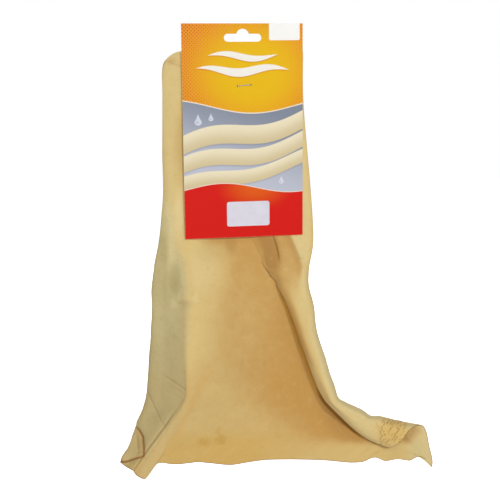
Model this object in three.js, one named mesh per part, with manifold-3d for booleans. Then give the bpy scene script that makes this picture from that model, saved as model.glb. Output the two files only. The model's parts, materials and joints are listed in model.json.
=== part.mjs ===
// A chamois leather, folded in three at its top and stapled behind a header card that hangs from a euro slot.
// Millimetres, +Z up, the printed side of the card faces -Y.
// The origin is the crown of the euro slot, in the plane of the card's rear face.
import * as THREE from "three";
import { mergeVertices } from "three/addons/utils/BufferGeometryUtils.js";
import Module from "manifold-3d";

const wasm = await Module();
wasm.setup();

// Header card
const CARD_WIDTH = 104;
const CARD_HEIGHT = 182;
const CARD_THICKNESS = 0.5;

// Euro slot: a long slot with round ends and a round hump in the middle of its upper side
const SLOT_LENGTH = 32;
const SLOT_HEIGHT = 6.5;
const HUMP_RADIUS = 5.6;
const HUMP_RISE = 4.1;
const SLOT_MARGIN = 4.5; // from the crown of the hump up to the card's upper edge

// Adhesive label, low on the front of the card
const LABEL_WIDTH = 37.5;
const LABEL_HEIGHT = 21.5;
const LABEL_THICKNESS = 0.15;
const LABEL_CORNER = 2;
const LABEL_SHIFT = 3.5; // right of the card's middle
const LABEL_RISE = 20.5; // from the card's lower edge up to the label's middle
const ADHESIVE = 0.05;

// Wire staple
const STAPLE_WIDTH = 12;
const STAPLE_DROP = 47; // from the crown of the slot down to the staple
const STAPLE_SHIFT = 1; // right of the card's middle
const STAPLE_TILT = 4; // degrees, right end up
const STAPLE_CLINCH = 4; // length of each bent end behind the leather
const WIRE_HEIGHT = 0.7;
const WIRE_THICKNESS = 0.5;
const WIRE_BEND = 0.3; // inner radius of each bend
const WIRE_SEAT = 0.2; // from the wire to the card in front and to the leather behind
const WIRE_PLAY = 0.3; // round each leg in its hole

// Chamois skin, folded in three layers: flap in front, panel in the middle, back layer behind
const LEATHER = 0.9;
const LAYER_GAP = 0.9;
const CARD_GAP = 0.3; // from the card's rear face to the front layer
const FOLD_LEFT = 68; // reach of the left fold from the card's middle
const FOLD_RIGHT = 52.5; // reach of the right fold from the card's middle
const FLAP_REACH = 43; // reach of the flap's cut edge to the left of the card's middle
const BACK_REACH = 44; // reach of the back layer's cut edge to the right of the card's middle
const GATHER_RISE = 28.5; // from the staple up to the skin's upper edge
const GATHER_HOLD = 9; // from the staple down to where the skin starts to swing
const GATHER_CORNER = 14; // radius of the upper left corner
const SWING_GAP = 0.3; // between the held skin and the hanging skin
const HEM_SPAN = 300; // from the left corner of the hem to the tip of the roll
const FOLD_DEPTH = 54; // from the front of the ridge to the back layer
const HANG_DROP = 240; // from the card's lower edge to below the tip of the roll

// How finely the hanging skin is divided
const SPAN_STEPS = 2; // between two fold lines
const DRAPE_STEPS = 18; // down the skin

// Places worked out from the sizes above
const cardTop = SLOT_MARGIN;
const cardBottom = cardTop - CARD_HEIGHT;
const staplePlace = new THREE.Vector3(STAPLE_SHIFT, 0, -STAPLE_DROP);
const stapleTurn = THREE.MathUtils.degToRad(-STAPLE_TILT);
const gatherTop = GATHER_RISE - STAPLE_DROP;
const hingeHeight = -STAPLE_DROP - GATHER_HOLD;
const layerStep = LEATHER + LAYER_GAP;
const frontLayer = CARD_GAP + LEATHER / 2;
const stackBack = frontLayer + 2 * layerStep + LEATHER / 2;
const foldShoulder = 0.6 * layerStep; // from the bend of a fold to where its layers lie flat

// Across the middle layer of the folded top, from the left fold (0) to the right fold (1).
const onPanel = (share) => THREE.MathUtils.lerp(-FOLD_LEFT, FOLD_RIGHT, share);

// Fold lines of the hanging skin, from the cut edge of the back layer round to the cut edge of the flap.
// top: right of the card's middle, then the layer it starts in (0 flap, 1 panel, 2 back layer).
// below: right of the card's middle, behind the card's rear face and down from the card's lower edge,
// in hundredths of the hem's span, the folds' depth and the skin's drop,
// given at the card's edge, the bend, the thigh, the knee, the roll and the hem.
const FOLD_LINES = [
  // back layer: its cut edge and its middle
  {
    top: [BACK_REACH, 2],
    below: [
      [12, 16, 2], [9, 27, 11.5], [-3.5, 52, 43.5],
      [-14, 62, 60.5], [-26, 52, 73], [-31, 44, 84],
    ],
  },
  {
    top: [(BACK_REACH - FOLD_LEFT) / 2, 2],
    below: [
      [-6, 18, 2], [-8, 29, 11.5], [-15.5, 53, 44],
      [-22, 63, 61], [-29.5, 49, 72.5], [-34.5, 40, 84.5],
    ],
  },
  // left fold: its rear shoulder, its bend and its front shoulder
  {
    top: [foldShoulder - FOLD_LEFT, 2],
    below: [
      [-23.5, 18, 2], [-25, 27, 12], [-27, 44, 44],
      [-28, 50, 61.5], [-32.5, 41, 72], [-37, 30, 84.5],
    ],
  },
  {
    top: [-FOLD_LEFT, 1.5],
    below: [
      [-24.5, 12.5, 1.5], [-26, 18.5, 12], [-28, 31, 42.5],
      [-29.5, 36, 60.5], [-33, 31, 72], [-38, 18, 84],
    ],
  },
  {
    top: [foldShoulder - FOLD_LEFT, 1],
    below: [
      [-23, 7.5, 1.5], [-23, 11.5, 12], [-24, 4, 41],
      [-25, 4.5, 59.5], [-30, 8, 72], [-36, 6, 85],
    ],
  },
  // ridge that comes forward beside the panel, and the strip along it
  {
    top: [onPanel(0.13), 1],
    below: [
      [-18, 3, 1.5], [-17, -7.5, 11.5], [-18, -36.5, 39.5],
      [-19, -41.5, 56.5], [-26, -23, 70.5], [-34, -9.5, 85.5],
    ],
  },
  {
    top: [onPanel(0.23), 1],
    below: [
      [-14, 4, 1.5], [-13.5, -7.5, 11.5], [-14, -33, 40],
      [-15, -37.5, 58.5], [-22, -22, 72], [-31, -19, 88],
    ],
  },
  // panel: its left, its middle and its right
  {
    top: [onPanel(0.36), 1],
    below: [
      [-8.5, 6.5, 2], [-7, 1, 12], [-6.5, -11.5, 41.5],
      [-7.5, -15, 61], [-13.5, -9.5, 74], [-26, 0, 84],
    ],
  },
  {
    top: [onPanel(0.6), 1],
    below: [
      [1.5, 8.5, 2.5], [2, 11.5, 13], [4.5, 16.5, 44],
      [5, 20, 64.5], [4, 22, 78], [-2, 7.5, 88],
    ],
  },
  {
    top: [onPanel(0.83), 1],
    below: [
      [12, 11, 3], [12.5, 16, 14], [16.5, 26, 45.5],
      [20, 30, 67], [24, 29.5, 80.5], [28, 9.5, 89.5],
    ],
  },
  // right fold, which opens into the roll: its rear shoulder, its tip, its bend and its front shoulder
  {
    top: [FOLD_RIGHT - foldShoulder, 1],
    below: [
      [18.5, 12.5, 3.5], [18, 16, 14], [23.5, 26, 46],
      [29, 30.5, 68], [38.5, 31, 82.5], [46.5, 11.5, 91],
    ],
  },
  {
    top: [FOLD_RIGHT - 0.15 * layerStep, 0.85],
    below: [
      [20.5, 11.5, 3.5], [19.5, 14, 14], [24.5, 20, 45.5],
      [29.5, 22.5, 66.5], [45, 30, 79.5], [60.5, 26, 96],
    ],
  },
  {
    top: [FOLD_RIGHT, 0.5],
    below: [
      [21, 7, 3.5], [19.5, 7, 14.5], [24.5, 7.5, 46.5],
      [29, 7, 65], [41.5, 12.5, 73.5], [56.5, 19, 79],
    ],
  },
  {
    top: [FOLD_RIGHT - foldShoulder, 0],
    below: [
      [19.5, 2, 3], [18, 1, 14], [22.5, -5, 45],
      [27, -8, 63.5], [40, -5, 74], [51.5, -2, 78.5],
    ],
  },
  // flap: its middle and its cut edge
  {
    top: [(FOLD_RIGHT - FLAP_REACH) / 2, 0],
    below: [
      [12, 2.5, 3], [13, -0.5, 13.5], [19.5, -4, 44],
      [25.5, -5.5, 64], [38, -4, 77.5], [48, -4.5, 82],
    ],
  },
  {
    top: [-FLAP_REACH, 0],
    below: [
      [3, 3, 2.5], [7, 5.5, 13.5], [18, 5, 44.5],
      [24, 8, 65], [37, 10, 81], [45, 4, 85.5],
    ],
  },
];

// Materials
const board = new THREE.MeshStandardMaterial({ color: 0xe59a2e, roughness: 0.35, metalness: 0 });
const paper = new THREE.MeshStandardMaterial({ color: 0xe6e4ea, roughness: 0.5, metalness: 0 });
const wire = new THREE.MeshStandardMaterial({ color: 0xb8bcc0, roughness: 0.3, metalness: 1 });
const chamois = new THREE.MeshStandardMaterial({ color: 0xdcc088, roughness: 0.95, metalness: 0 });

// A closed outline through corners [x, y, radius], each rounded by an arc of its radius.
function roundedOutline(corners) {
  const shape = new THREE.Shape();
  corners.forEach(([x, y, radius], i) => {
    const corner = new THREE.Vector2(x, y);
    if (radius === 0) {
      shape[i ? "lineTo" : "moveTo"](x, y);
      return;
    }
    const before = corners.at(i - 1);
    const after = corners[(i + 1) % corners.length];
    const back = new THREE.Vector2(before[0], before[1]).sub(corner).normalize();
    const on = new THREE.Vector2(after[0], after[1]).sub(corner).normalize();
    const half = Math.acos(back.dot(on)) / 2;
    const start = corner.clone().addScaledVector(back, radius / Math.tan(half));
    const end = corner.clone().addScaledVector(on, radius / Math.tan(half));
    const bisector = back.clone().add(on).normalize();
    const centre = corner.clone().addScaledVector(bisector, radius / Math.sin(half));
    const from = start.clone().sub(centre).angle();
    const to = end.clone().sub(centre).angle();
    shape[i ? "lineTo" : "moveTo"](start.x, start.y);
    shape.absarc(centre.x, centre.y, radius, from, to, back.cross(on) > 0);
  });
  shape.closePath();
  return shape;
}

// An outline drawn in X and Z, made solid from one depth in Y to another further back.
function upright(outline, front, back) {
  const geometry = new THREE.ExtrudeGeometry(outline, { depth: back - front, bevelEnabled: false });
  return geometry.rotateX(Math.PI / 2).translate(0, back, 0);
}

function solid(geometry) {
  const bare = geometry.clone();
  bare.deleteAttribute("normal");
  bare.deleteAttribute("uv");
  const merged = mergeVertices(bare);
  const vertProperties = merged.attributes.position.array;
  const triVerts = new Uint32Array(merged.index.array);
  return new wasm.Manifold(new wasm.Mesh({ numProp: 3, vertProperties, triVerts }));
}

function geometryOf(body) {
  const { vertProperties, triVerts } = body.getMesh();
  const geometry = new THREE.BufferGeometry();
  geometry.setAttribute("position", new THREE.BufferAttribute(vertProperties, 3));
  geometry.setIndex(new THREE.BufferAttribute(triVerts, 1));
  return geometry;
}

function named(name, geometry, material) {
  const mesh = new THREE.Mesh(geometry, material);
  mesh.name = name;
  return mesh;
}

// The two holes that the staple's legs pass through, as solids to cut away.
function legHoles() {
  const legMiddle = (STAPLE_WIDTH - WIRE_THICKNESS) / 2;
  const width = WIRE_THICKNESS + 2 * WIRE_PLAY;
  const height = WIRE_HEIGHT + 2 * WIRE_PLAY;
  const depth = 2 * (stackBack + CARD_THICKNESS + LEATHER);
  const holes = [-legMiddle, legMiddle].map((across) => {
    const hole = new THREE.BoxGeometry(width, depth, height).translate(across, 0, 0);
    return solid(hole.rotateY(stapleTurn).translate(...staplePlace));
  });
  return holes[0].add(holes[1]);
}

function euroSlot() {
  const shoulder = -HUMP_RISE;
  const end = SLOT_HEIGHT / 2;
  const reach = SLOT_LENGTH / 2 - end;
  const humpMiddle = -HUMP_RADIUS;
  const humpStart = Math.asin((shoulder - humpMiddle) / HUMP_RADIUS);
  const slot = new THREE.Path();
  slot.moveTo(-reach, shoulder);
  slot.absarc(0, humpMiddle, HUMP_RADIUS, Math.PI - humpStart, humpStart, true);
  slot.absarc(reach, shoulder - end, end, Math.PI / 2, -Math.PI / 2, true);
  slot.absarc(-reach, shoulder - end, end, -Math.PI / 2, -1.5 * Math.PI, true);
  return slot;
}

function headerCard() {
  const side = CARD_WIDTH / 2;
  const outline = roundedOutline([
    [-side, cardBottom, 0],
    [side, cardBottom, 0],
    [side, cardTop, 0],
    [-side, cardTop, 0],
  ]);
  outline.holes.push(euroSlot());
  const card = solid(upright(outline, -CARD_THICKNESS, 0)).subtract(legHoles());
  return named("header_card", geometryOf(card), board);
}

function sizeLabel() {
  const side = LABEL_WIDTH / 2;
  const half = LABEL_HEIGHT / 2;
  const outline = roundedOutline([
    [-side, -half, LABEL_CORNER],
    [side, -half, LABEL_CORNER],
    [side, half, LABEL_CORNER],
    [-side, half, LABEL_CORNER],
  ]);
  const label = named("size_label", upright(outline, -LABEL_THICKNESS, 0), paper);
  label.position.set(LABEL_SHIFT, -CARD_THICKNESS - ADHESIVE, cardBottom + LABEL_RISE);
  return label;
}

// Crown in front of the card, legs through card and leather, ends bent inwards behind.
function wireStaple() {
  const outer = STAPLE_WIDTH / 2;
  const inner = outer - WIRE_THICKNESS;
  const tip = outer - STAPLE_CLINCH;
  const crownBack = -CARD_THICKNESS - WIRE_SEAT;
  const crownFront = crownBack - WIRE_THICKNESS;
  const clinchFront = stackBack + WIRE_SEAT;
  const clinchBack = clinchFront + WIRE_THICKNESS;
  const outside = WIRE_BEND + WIRE_THICKNESS;
  const outline = roundedOutline([
    [-outer, crownFront, outside],
    [outer, crownFront, outside],
    [outer, clinchBack, outside],
    [tip, clinchBack, 0],
    [tip, clinchFront, 0],
    [inner, clinchFront, WIRE_BEND],
    [inner, crownBack, WIRE_BEND],
    [-inner, crownBack, WIRE_BEND],
    [-inner, clinchFront, WIRE_BEND],
    [-tip, clinchFront, 0],
    [-tip, clinchBack, 0],
    [-outer, clinchBack, outside],
  ]);
  const bent = new THREE.ExtrudeGeometry(outline, { depth: WIRE_HEIGHT, bevelEnabled: false });
  const staple = named("staple", bent.translate(0, 0, -WIRE_HEIGHT / 2), wire);
  staple.position.copy(staplePlace);
  staple.rotation.y = stapleTurn;
  return staple;
}

// Across the folded top, where each fold line starts.
function foldedTop(height) {
  return FOLD_LINES.map(({ top: [across, layer] }) => {
    return new THREE.Vector3(across, frontLayer + layer * layerStep, height);
  });
}

// Points along one row of the skin, on a smooth curve through its fold lines.
function acrossSkin(places) {
  const curve = new THREE.CatmullRomCurve3(places);
  const steps = SPAN_STEPS * (places.length - 1);
  return curve.getPoints(steps).map((point) => {
    if (point.z > cardBottom) point.y = Math.max(point.y, frontLayer); // the card stops it
    return point;
  });
}

// The leather's thickness laid half on each side of rows of points.
function leatherSheet(rows) {
  const columns = rows[0].length;
  const last = rows.length - 1;
  const faces = [[], []];
  rows.forEach((row, j) => {
    row.forEach((point, i) => {
      const along = row[Math.min(i + 1, columns - 1)].clone().sub(row[Math.max(i - 1, 0)]);
      const down = rows[Math.min(j + 1, last)][i].clone().sub(rows[Math.max(j - 1, 0)][i]);
      const normal = along.cross(down).normalize();
      faces[0].push(point.clone().addScaledVector(normal, LEATHER / 2));
      faces[1].push(point.clone().addScaledVector(normal, -LEATHER / 2));
    });
  });
  const triangles = [];
  const quad = (a, b, c, d) => triangles.push(a, b, c, a, c, d);
  const far = faces[0].length; // index of the second face's first point
  for (let j = 0; j < last; j++) {
    for (let i = 0; i < columns - 1; i++) {
      const a = j * columns + i;
      const b = a + 1;
      const c = b + columns;
      const d = a + columns;
      quad(a, b, c, d);
      quad(far + a, far + d, far + c, far + b);
      if (j === 0) quad(b, a, far + a, far + b);
      if (j === last - 1) quad(d, c, far + c, far + d);
      if (i === 0) quad(a, d, far + d, far + a);
      if (i === columns - 2) quad(c, b, far + b, far + c);
    }
  }
  const geometry = new THREE.BufferGeometry().setFromPoints(faces.flat());
  return geometry.setIndex(triangles);
}

// The part of the skin that the staple holds against the card.
function skinGather() {
  const bottom = hingeHeight + SWING_GAP;
  const folded = leatherSheet([foldedTop(gatherTop), foldedTop(bottom)].map(acrossSkin));
  const left = -FOLD_LEFT - LEATHER;
  const right = FOLD_RIGHT + LEATHER;
  const outline = roundedOutline([
    [left, bottom - LEATHER, 0],
    [right, bottom - LEATHER, 0],
    [right, gatherTop, 0],
    [left, gatherTop, GATHER_CORNER],
  ]);
  const trim = solid(upright(outline, 0, stackBack + layerStep));
  return named("skin_gather", geometryOf(solid(folded).intersect(trim).subtract(legHoles())), chamois);
}

// The part of the skin that hangs free and swings.
function skinDrape() {
  const tops = foldedTop(hingeHeight);
  const lines = FOLD_LINES.map(({ below }, i) => {
    const hanging = below.map((shares) => {
      const [across, behind, drop] = shares.map((share) => share / 100);
      return new THREE.Vector3(across * HEM_SPAN, behind * FOLD_DEPTH, cardBottom - drop * HANG_DROP);
    });
    return new THREE.CatmullRomCurve3([tops[i], ...hanging]);
  });
  const rows = [];
  for (let j = 0; j <= DRAPE_STEPS; j++) {
    rows.push(acrossSkin(lines.map((line) => line.getPoint(j / DRAPE_STEPS))));
  }
  return named("skin_drape", leatherSheet(rows), chamois);
}

const heldByPeg = new THREE.Group();
heldByPeg.add(headerCard(), sizeLabel(), wireStaple(), skinGather());

const swinging = new THREE.Group();
swinging.add(skinDrape());

const chamoisLeather = new THREE.Group();
chamoisLeather.add(heldByPeg, swinging);

export default chamoisLeather;
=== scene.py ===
"""The looks of a chamois leather that hangs, folded in three, behind its header card.

Metres, +Z up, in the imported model's frame: the card's printed side faces -Y, and the origin is the
crown of the card's hang slot, in the plane of the card's rear face.
"""
import json
import math
from functools import reduce

import bpy
import numpy as np
from mathutils import Color, Matrix, Vector, noise


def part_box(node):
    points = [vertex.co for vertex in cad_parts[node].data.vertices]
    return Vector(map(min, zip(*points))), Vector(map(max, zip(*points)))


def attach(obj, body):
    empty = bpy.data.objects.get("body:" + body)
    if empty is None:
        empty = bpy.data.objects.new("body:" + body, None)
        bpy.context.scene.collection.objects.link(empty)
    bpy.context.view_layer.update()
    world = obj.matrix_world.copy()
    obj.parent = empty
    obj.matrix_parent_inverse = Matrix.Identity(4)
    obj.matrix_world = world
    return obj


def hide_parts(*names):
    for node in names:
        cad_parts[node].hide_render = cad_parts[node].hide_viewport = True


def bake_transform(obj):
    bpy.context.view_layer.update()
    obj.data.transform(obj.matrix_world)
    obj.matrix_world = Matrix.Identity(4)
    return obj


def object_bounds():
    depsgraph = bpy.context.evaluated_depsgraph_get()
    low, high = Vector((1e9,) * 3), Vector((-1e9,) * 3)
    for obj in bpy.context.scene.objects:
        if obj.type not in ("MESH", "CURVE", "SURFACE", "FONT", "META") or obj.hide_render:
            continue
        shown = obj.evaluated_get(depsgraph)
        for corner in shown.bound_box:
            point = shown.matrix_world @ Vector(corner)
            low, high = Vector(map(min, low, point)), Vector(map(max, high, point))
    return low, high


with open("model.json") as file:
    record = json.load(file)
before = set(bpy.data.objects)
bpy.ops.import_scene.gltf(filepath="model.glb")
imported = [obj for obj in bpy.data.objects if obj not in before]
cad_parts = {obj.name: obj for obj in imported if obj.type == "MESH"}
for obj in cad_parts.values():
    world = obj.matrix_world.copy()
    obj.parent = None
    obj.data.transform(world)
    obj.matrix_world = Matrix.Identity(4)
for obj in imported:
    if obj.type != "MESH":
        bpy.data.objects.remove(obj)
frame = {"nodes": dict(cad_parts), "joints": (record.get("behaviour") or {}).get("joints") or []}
cad_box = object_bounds()

MM = 0.001

# The photograph's camera stands a little left of the card and looks down on it
FRAME_PX = 500
PX = 0.87  # mm that a pixel shows at the object
FIELD_OF_VIEW = math.radians(28)
CAMERA_PLACE = np.array((-0.1522, -0.8497, -0.0332))
CAMERA_TURN = math.radians(10.47)
CAMERA_DIP = math.radians(10.24)
CAMERA_ROLL = math.radians(-0.5)

# Leather, in millimetres
LEATHER = 0.9
ROUND_RIM = 0.25
FOLD_ROUND = 3.5
CORNER_ROUND = 14
CORNER_SLOPE = 0.15
LAYER_STEP = 1.8
EDGE_SHARE = 0.4  # of the leather's thickness that is left at its cut edge
EDGE_REACH = 4  # from the cut edge to where the leather has its full thickness
FLAP_THINNING = 0.75  # share by which the upper end of the flap's edge is thinner still
SETTLED_GAP = 0.62  # between the middles of panel and flap where this thin edge lies on the panel
FLAP_LIFT = 1.2  # by which the gap widens further down
CUT_BROWN = 0.6  # over which the brown of a cut edge fades
# On the turned corner the brown of the cut edge reaches further, and there it is partly painted shade along
# its edges
EAR_BROWN = 3  # more than that on the turned corner
LAYER_APART = 0.15  # metres between the layers of the skin where it is laid out flat

# Staple wire, in millimetres
STAPLE_WIDTH = 12
STAPLE_TILT = 4  # degrees, right end up
STAPLE_CLINCH = 4
WIRE_HEIGHT = 0.7
WIRE_THICKNESS = 0.5
WIRE_BEND = 0.55  # radius of the wire's middle round each bend
WIRE_EDGE = 0.12

# The card's print, in millimetres right of its middle and below its upper edge
DOT_PITCH = 3.0
TITLE_RIBBONS = [(27, 2.8, 30, 0.4), (38.5, 3.6, 40, 2.0)]  # height, half width, reach and shift of each
CREAM_WAVES = [(92, 8, 5, 0.2), (110, 7, 5, 0.5), (126, 6, 4, 0.9)]  # the same, with swing for reach
DROPS = [(-39, 81.5, 3.2), (-28, 79, 2.2), (33, 134, 2.2)]  # place and size of each
RIBBON_SWING = (2.2, 0.11)  # and turns, in radians to the mm
WAVE_TURNS = 0.055
WAVE_SLOPE = 0.22
MIDDLE_EDGE = (69, 1.2, 6, 0.043)  # height, shift, swing and turns of the edge between two fields
FOOT_EDGE = (139, -0.6, 4.5, 0.052)
MIDDLE_LINE = 0.45  # half the width of the fine line along an edge
FOOT_LINE = 0.35
FIELD_SOFT = 0.15
AMBER_GLOW = (8, 40, 62, 52)  # middle and half sizes
FOOT_GLOW = (10, 139, 34, 20)
BOARD_START = (0.02, 0.06)  # into the card from either face, where its bare board shows
PATCH_MIDDLE = 36
PATCH_HALF = 13.3
PATCH_DROP = 14
PATCH_CORNER = 1.6

# Lamps: degrees round from the front and up, metres away and wide, and watts
LAMPS = {"key": (16, 24, 1.9, 0.15, 12.5), "fill": (-11, 14, 2.2, 1.4, 20), "rear": (172, 22, 2.2, 1.4, 24)}
ROOM_LIGHT = 0.2  # strength of the white room's light on the object
FLOOR_HALF = 4  # metres
FLOOR_DROP = 0.2  # metres below the object

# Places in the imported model
card_low, card_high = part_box("header_card")
gather_low, gather_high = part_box("skin_gather")
label_low, label_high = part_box("size_label")
staple_low, staple_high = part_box("staple")
hinge = frame["joints"][0]["pos_m"]
fold_left = gather_low.x / MM + LEATHER / 2
fold_right = gather_high.x / MM - LEATHER / 2
front_layer = gather_low.y / MM + LEATHER / 2

# Camera axes
turn = np.array((math.sin(CAMERA_TURN), math.cos(CAMERA_TURN), 0))
level = np.array((math.cos(CAMERA_TURN), -math.sin(CAMERA_TURN), 0))
camera_forward = turn * math.cos(CAMERA_DIP) - np.array((0, 0, math.sin(CAMERA_DIP)))
plumb = np.cross(camera_forward, level)
camera_right = level * math.cos(CAMERA_ROLL) - plumb * math.sin(CAMERA_ROLL)
camera_down = level * math.sin(CAMERA_ROLL) + plumb * math.cos(CAMERA_ROLL)
middle_px = FRAME_PX / 2
focal_px = middle_px / math.tan(FIELD_OF_VIEW / 2)


def seen(across, down, behind):
    """The point, so many mm behind the card's rear face, that the photograph shows at a pixel."""
    ray = (across - middle_px) * camera_right + (down - middle_px) * camera_down
    ray = ray + focal_px * camera_forward
    reach = (behind * MM - CAMERA_PLACE[1]) / ray[1]
    return CAMERA_PLACE + reach * ray


def pixels_of(points):
    """Where the photograph shows points, in pixels across and down."""
    away = points - CAMERA_PLACE
    scale = focal_px / (away @ camera_forward)
    return np.stack([middle_px + away @ camera_right * scale, middle_px + away @ camera_down * scale], -1)


# Fold lines of the skin, from the cut edge of the back layer round to the cut edge of the flap.
# top: mm right of the card's middle, and the layer it starts in (0 flap, 1 panel, 2 back layer).
# tone: 0 pale cream to 1 ochre. grey: 0 none to 1 the dull side of the tent, partly painted shade.
# columns: how many strips of mesh lie between this line and the next.
# below: pixels across and down in the photograph's frame, and mm behind the card's rear face,
# at the card's edge, the bend, the waist, the thigh, the knee, the fold, the roll and the hem.
FOLD_LINES = {
    "back_edge": dict(top=(44, 2), tone=0.3, grey=0.4, columns=8, below=[
        (282, 238, 9.5), (272, 264, 15.5), (258, 296, 21), (230, 346, 27),
        (199, 388, 32), (180, 404, 30), (139, 425, 20), (125, 459, 13)]),
    "back_middle": dict(top=(-12, 2), tone=0.3, grey=0.4, columns=12, below=[
        (222, 240, 10.5), (215, 266, 16.5), (206, 300, 22), (190, 350, 28),
        (171, 391, 33), (162, 405, 31), (138, 425, 20), (124, 460, 13)]),
    "left_rear": dict(top=(fold_left + FOLD_ROUND, 2), tone=0.3, grey=0.5, columns=6, below=[
        (164, 243, 10.5), (159, 269, 16), (156, 302, 19), (153, 352, 23),
        (150.5, 394, 25), (146.5, 407, 23.5), (136.5, 426, 19), (122.5, 461, 12.5)]),
    "left_bend": dict(top=(fold_left, 1.5), tone=0.3, grey=0.8, columns=12, below=[
        (160, 242, 8.2), (155, 270, 12), (153, 300, 13), (150.3, 350, 16),
        (147, 392, 19), (143, 408, 18.5), (134.5, 427, 16), (120.5, 462.5, 9)]),
    "left_front": dict(top=(fold_left + FOLD_ROUND, 1), tone=0.25, grey=0.9, columns=16, below=[
        (166, 242, 4.5), (166, 270, 6), (166, 300, 4.5), (165, 350, 2),
        (163.5, 393, 2), (158, 410, 3.5), (146, 431, 4), (127, 466.5, 3)]),
    "ridge_side": dict(top=(-57, 1), tone=0.2, grey=0.75, columns=5, below=[
        (174, 242, 2.9), (174.5, 270, 2), (178, 300, -3.5), (180.2, 350, -13.5),
        (184, 391, -18.7), (182.4, 400.5, -18), (162, 433, -10.8), (133.4, 470.2, -4.4)]),
    "crest": dict(top=(-52, 1), tone=0.15, grey=0.35, columns=4, below=[
        (181, 242, 1.5), (185, 270, -3.8), (188.3, 300, -10.5), (186.9, 350, -19),
        (187, 390, -22), (185.8, 399, -21.3), (164.2, 433.3, -12), (135.2, 471, -5)]),
    "crest_right": dict(top=(-47, 1), tone=0.15, grey=0, columns=6, below=[
        (189, 242, 1.5), (194, 270, -4.4), (197, 300, -11.2), (193.5, 350, -19.5),
        (189.6, 391, -22.5), (187.6, 401, -21.9), (166.2, 434.3, -13), (137, 473, -6.3)]),
    "strip": dict(top=(-40, 1), tone=0.2, grey=0, columns=12, below=[
        (196, 242, 2.2), (200, 270, -4), (204, 300, -9.5), (201, 350, -17.3),
        (192.8, 394, -22), (189.3, 404.5, -20.8), (170.8, 435.6, -12.7), (145, 478.5, -8.5)]),
    "panel_left": dict(top=(-25, 1), tone=0.4, grey=0, columns=22, below=[
        (216, 242, 3.5), (221, 270, 0.5), (226, 300, -2), (219, 350, -8.5),
        (197, 396, -20.3), (191.5, 408, -18.8), (175.5, 436, -11.3), (159, 463, -6.5)]),
    "panel_middle": dict(top=(5, 1), tone=0.75, grey=0, columns=22, below=[
        (248, 242, 4.5), (251, 270, 6), (254, 300, 7), (258, 350, 8),
        (261, 396, 9), (261, 410, 10), (258, 436, 10.5), (240, 465, 3)]),
    "panel_right": dict(top=(32, 1), tone=0.95, grey=0, columns=20, below=[
        (283, 242, 5), (285, 270, 8), (288, 300, 10.5), (296, 350, 13),
        (306, 398, 14.5), (310, 411, 15), (320, 436, 14), (335, 461, 6.5)]),
    "right_rear": dict(top=(fold_right - FOLD_ROUND, 1), tone=0.8, grey=0, columns=14, below=[
        (304, 242, 5), (302, 270, 8), (305, 300, 10.5), (318, 350, 13),
        (332, 399, 14.5), (341, 410, 15.5), (364, 437, 10), (392, 459.5, 8.5)]),
    "roll_floor": dict(top=(fold_right - 2, 0.95), tone=0.6, grey=0.1, columns=12, below=[
        (308, 242, 4.9), (305.3, 270, 7.6), (308, 300, 9.6), (320.5, 350, 11.6),
        (334.3, 398, 12.7), (342.5, 407.5, 14), (380, 436, 15.2), (415, 459, 11.2)]),
    "roll_tip": dict(top=(fold_right - 0.8, 0.85), tone=0.5, grey=0.2, columns=12, below=[
        (311, 242, 4.6), (308, 270, 7), (310.8, 300, 8.5), (322.5, 350, 10),
        (336, 397, 10.5), (344, 405, 12), (396, 431, 14.8), (431.3, 467, 12.5)]),
    "right_bend": dict(top=(fold_right, 0.5), tone=0.2, grey=0.2, columns=9, below=[
        (312.8, 242, 3.4), (308.4, 272, 3.6), (311.7, 300, 4), (324, 354, 4),
        (337.8, 397.5, 3.5), (343.5, 401.3, 4.3), (378, 415.6, 6.5), (423, 425.6, 10)]),
    "right_front": dict(top=(fold_right - FOLD_ROUND, 0), tone=0.1, grey=0, columns=12, below=[
        (308, 242, 2), (304.5, 271, 0.8), (308, 300, -0.5), (319.5, 352, -2.5),
        (332, 395.5, -4), (340, 403.6, -3.6), (375, 420, -1.6), (410, 429.7, -1)]),
    "flap_middle": dict(top=(5, 0), tone=0.1, grey=0, columns=15, below=[
        (291, 242, 1.5), (294, 270, -0.5), (300, 300, -1.8), (313, 350, -3),
        (328.5, 395.5, -4.5), (336, 406, -4.8), (372, 429, -3.2), (403, 439.2, -3)]),
    "flap_crease": dict(top=(-18, 0), tone=0.15, grey=0, columns=14, below=[
        (275.5, 242, 1.2), (280, 270, 0), (291, 300, -0.5), (307, 350, -0.5),
        (325.5, 395.5, -0.6), (334, 407, -0.6), (367.8, 434.4, -0.6), (396.2, 444.8, -0.5)]),
    "flap_edge": dict(top=(-43, 0), tone=0.3, grey=0, columns=0, below=[
        (254, 242, 3.9), (268, 271, 6.1), (285, 300, 3.9), (303.3, 350, 4.4),
        (321.8, 396, 6), (330.7, 406.9, 7), (365.4, 437.6, 5), (388.3, 447.4, 3.8)]),
}
LINE_NAMES = list(FOLD_LINES)

# How many strips of mesh lie above each of these places, going down the skin from its upper edge
ROWS_TO = {
    "hinge": 14, "card_edge": 40, "bend": 14, "waist": 14, "thigh": 24, "knee": 22, "fold": 10,
    "roll": 16, "hem": 32,
}

# The hem as the photograph shows it, from the left fold to the tip of the roll
HEM = [
    (120, 462), (126, 466.5), (133, 470.7), (136.6, 475), (143.6, 478.7), (145.2, 478.5), (152.5, 469),
    (157, 463.5), (161, 462.5), (174, 464), (189.5, 462.8), (196.5, 462), (210, 463), (231, 464.8),
    (245, 462.7), (264, 460), (284, 459.3), (307, 459.5), (326, 460.2), (340, 461.5), (352, 462.4),
    (364, 461.4), (369, 459), (373, 457.6), (378, 458), (383.5, 460.5), (388, 460.5), (396.5, 459),
    (405, 459.8), (410, 460.3), (415.5, 457.6), (420, 456.4), (424, 458.4), (427.6, 461), (431.4, 467.4),
]
HEM_EASE = 26  # mm above the hem over which the skin gives way to its outline
HEM_STEPS = 12  # of the smooth outline for each of these points

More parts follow.
